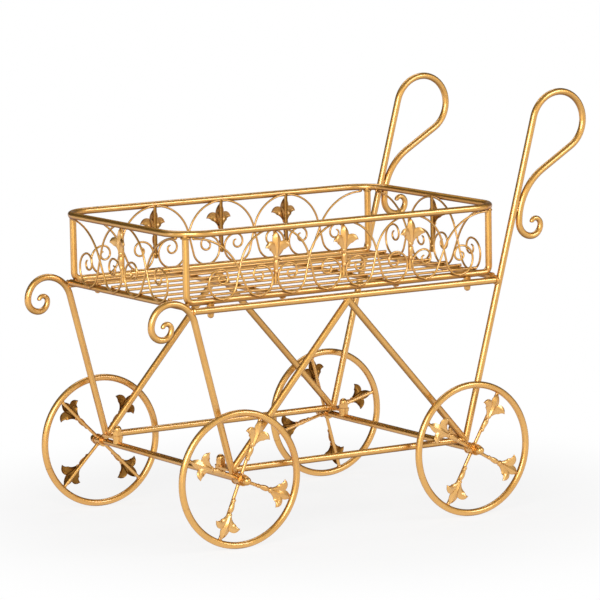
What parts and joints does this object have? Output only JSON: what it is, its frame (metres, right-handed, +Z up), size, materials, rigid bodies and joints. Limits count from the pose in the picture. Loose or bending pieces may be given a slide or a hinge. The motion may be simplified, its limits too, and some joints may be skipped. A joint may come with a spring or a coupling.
{
  "type": "cart planter stand",
  "caption": "Gold-painted wrought-rod garden cart planter: open scrollwork tray on crossed side frames, loop handles and spoked wheels with fleur ornaments that turn on fixed axles.",
  "frame": {"origin": "on the floor, at the middle of the cart's outline", "axes": "+X along the cart towards the handles, +Y towards the right-hand side frame, +Z up"},
  "size_m": [0.7562, 0.4526, 0.619],
  "materials": {
    "gold_rod": "satin gold paint over bent steel rod",
    "gold_wheel": "satin gold paint over bent steel rod, worn a little where it rolls",
    "gold_ornament": "gold paint over cast iron, darker in the hollows",
    "gold_hardware": "glossy gold paint over turned steel"
  },
  "bodies": {
    "frame": {"left_front_leg": "gold_rod", "left_rear_leg": "gold_rod", "left_upper_rail": "gold_rod", "left_lower_rail": "gold_rod", "left_front_brace": "gold_rod", "left_rear_brace": "gold_rod", "left_axle_lugs": "gold_rod", "left_tray_lugs": "gold_rod", "right_front_leg": "gold_rod", "right_rear_leg": "gold_rod", "right_upper_rail": "gold_rod", "right_lower_rail": "gold_rod", "right_front_brace": "gold_rod", "right_rear_brace": "gold_rod", "right_axle_lugs": "gold_rod", "right_tray_lugs": "gold_rod", "front_axle": "gold_hardware", "rear_axle": "gold_hardware", "axle_bosses": "gold_hardware", "axle_studs": "gold_hardware", "axle_washers": "gold_hardware", "axle_dome_nuts": "gold_hardware", "wheel_washers": "gold_hardware", "wheel_cap_nuts": "gold_hardware", "tray_top_rail": "gold_rod", "tray_left_frame": "gold_rod", "tray_right_frame": "gold_rod", "tray_end_rods": "gold_rod", "tray_cross_rods": "gold_rod", "tray_floor_wires": "gold_rod", "panel_stems": "gold_rod", "left_panel_scrolls": "gold_rod", "right_panel_scrolls": "gold_rod", "front_panel_scrolls": "gold_rod", "rear_panel_scrolls": "gold_rod", "left_panel_ornaments": "gold_ornament", "right_panel_ornaments": "gold_ornament", "front_panel_ornament": "gold_ornament", "rear_panel_ornament": "gold_ornament", "tray_bosses": "gold_hardware", "tray_studs": "gold_hardware", "tray_washers": "gold_hardware", "tray_dome_nuts": "gold_hardware"},
    "front_left_wheel": {"front_left_rim": "gold_wheel", "front_left_hub": "gold_wheel", "front_left_spokes": "gold_wheel", "front_left_ornaments": "gold_ornament"},
    "front_right_wheel": {"front_right_rim": "gold_wheel", "front_right_hub": "gold_wheel", "front_right_spokes": "gold_wheel", "front_right_ornaments": "gold_ornament"},
    "rear_left_wheel": {"rear_left_rim": "gold_wheel", "rear_left_hub": "gold_wheel", "rear_left_spokes": "gold_wheel", "rear_left_ornaments": "gold_ornament"},
    "rear_right_wheel": {"rear_right_rim": "gold_wheel", "rear_right_hub": "gold_wheel", "rear_right_spokes": "gold_wheel", "rear_right_ornaments": "gold_ornament"}
  },
  "joints": [
    {"name": "front_left_spin", "type": "hinge", "parent": "frame", "child": "front_left_wheel", "pos_m": [-0.24526, -0.201, 0.1], "axis": [0, 1, 0], "continuous": true},
    {"name": "front_right_spin", "type": "hinge", "parent": "frame", "child": "front_right_wheel", "pos_m": [-0.24526, 0.201, 0.1], "axis": [0, 1, 0], "continuous": true},
    {"name": "rear_left_spin", "type": "hinge", "parent": "frame", "child": "rear_left_wheel", "pos_m": [0.15474, -0.201, 0.1], "axis": [0, 1, 0], "continuous": true},
    {"name": "rear_right_spin", "type": "hinge", "parent": "frame", "child": "rear_right_wheel", "pos_m": [0.15474, 0.201, 0.1], "axis": [0, 1, 0], "continuous": true}
  ]
}
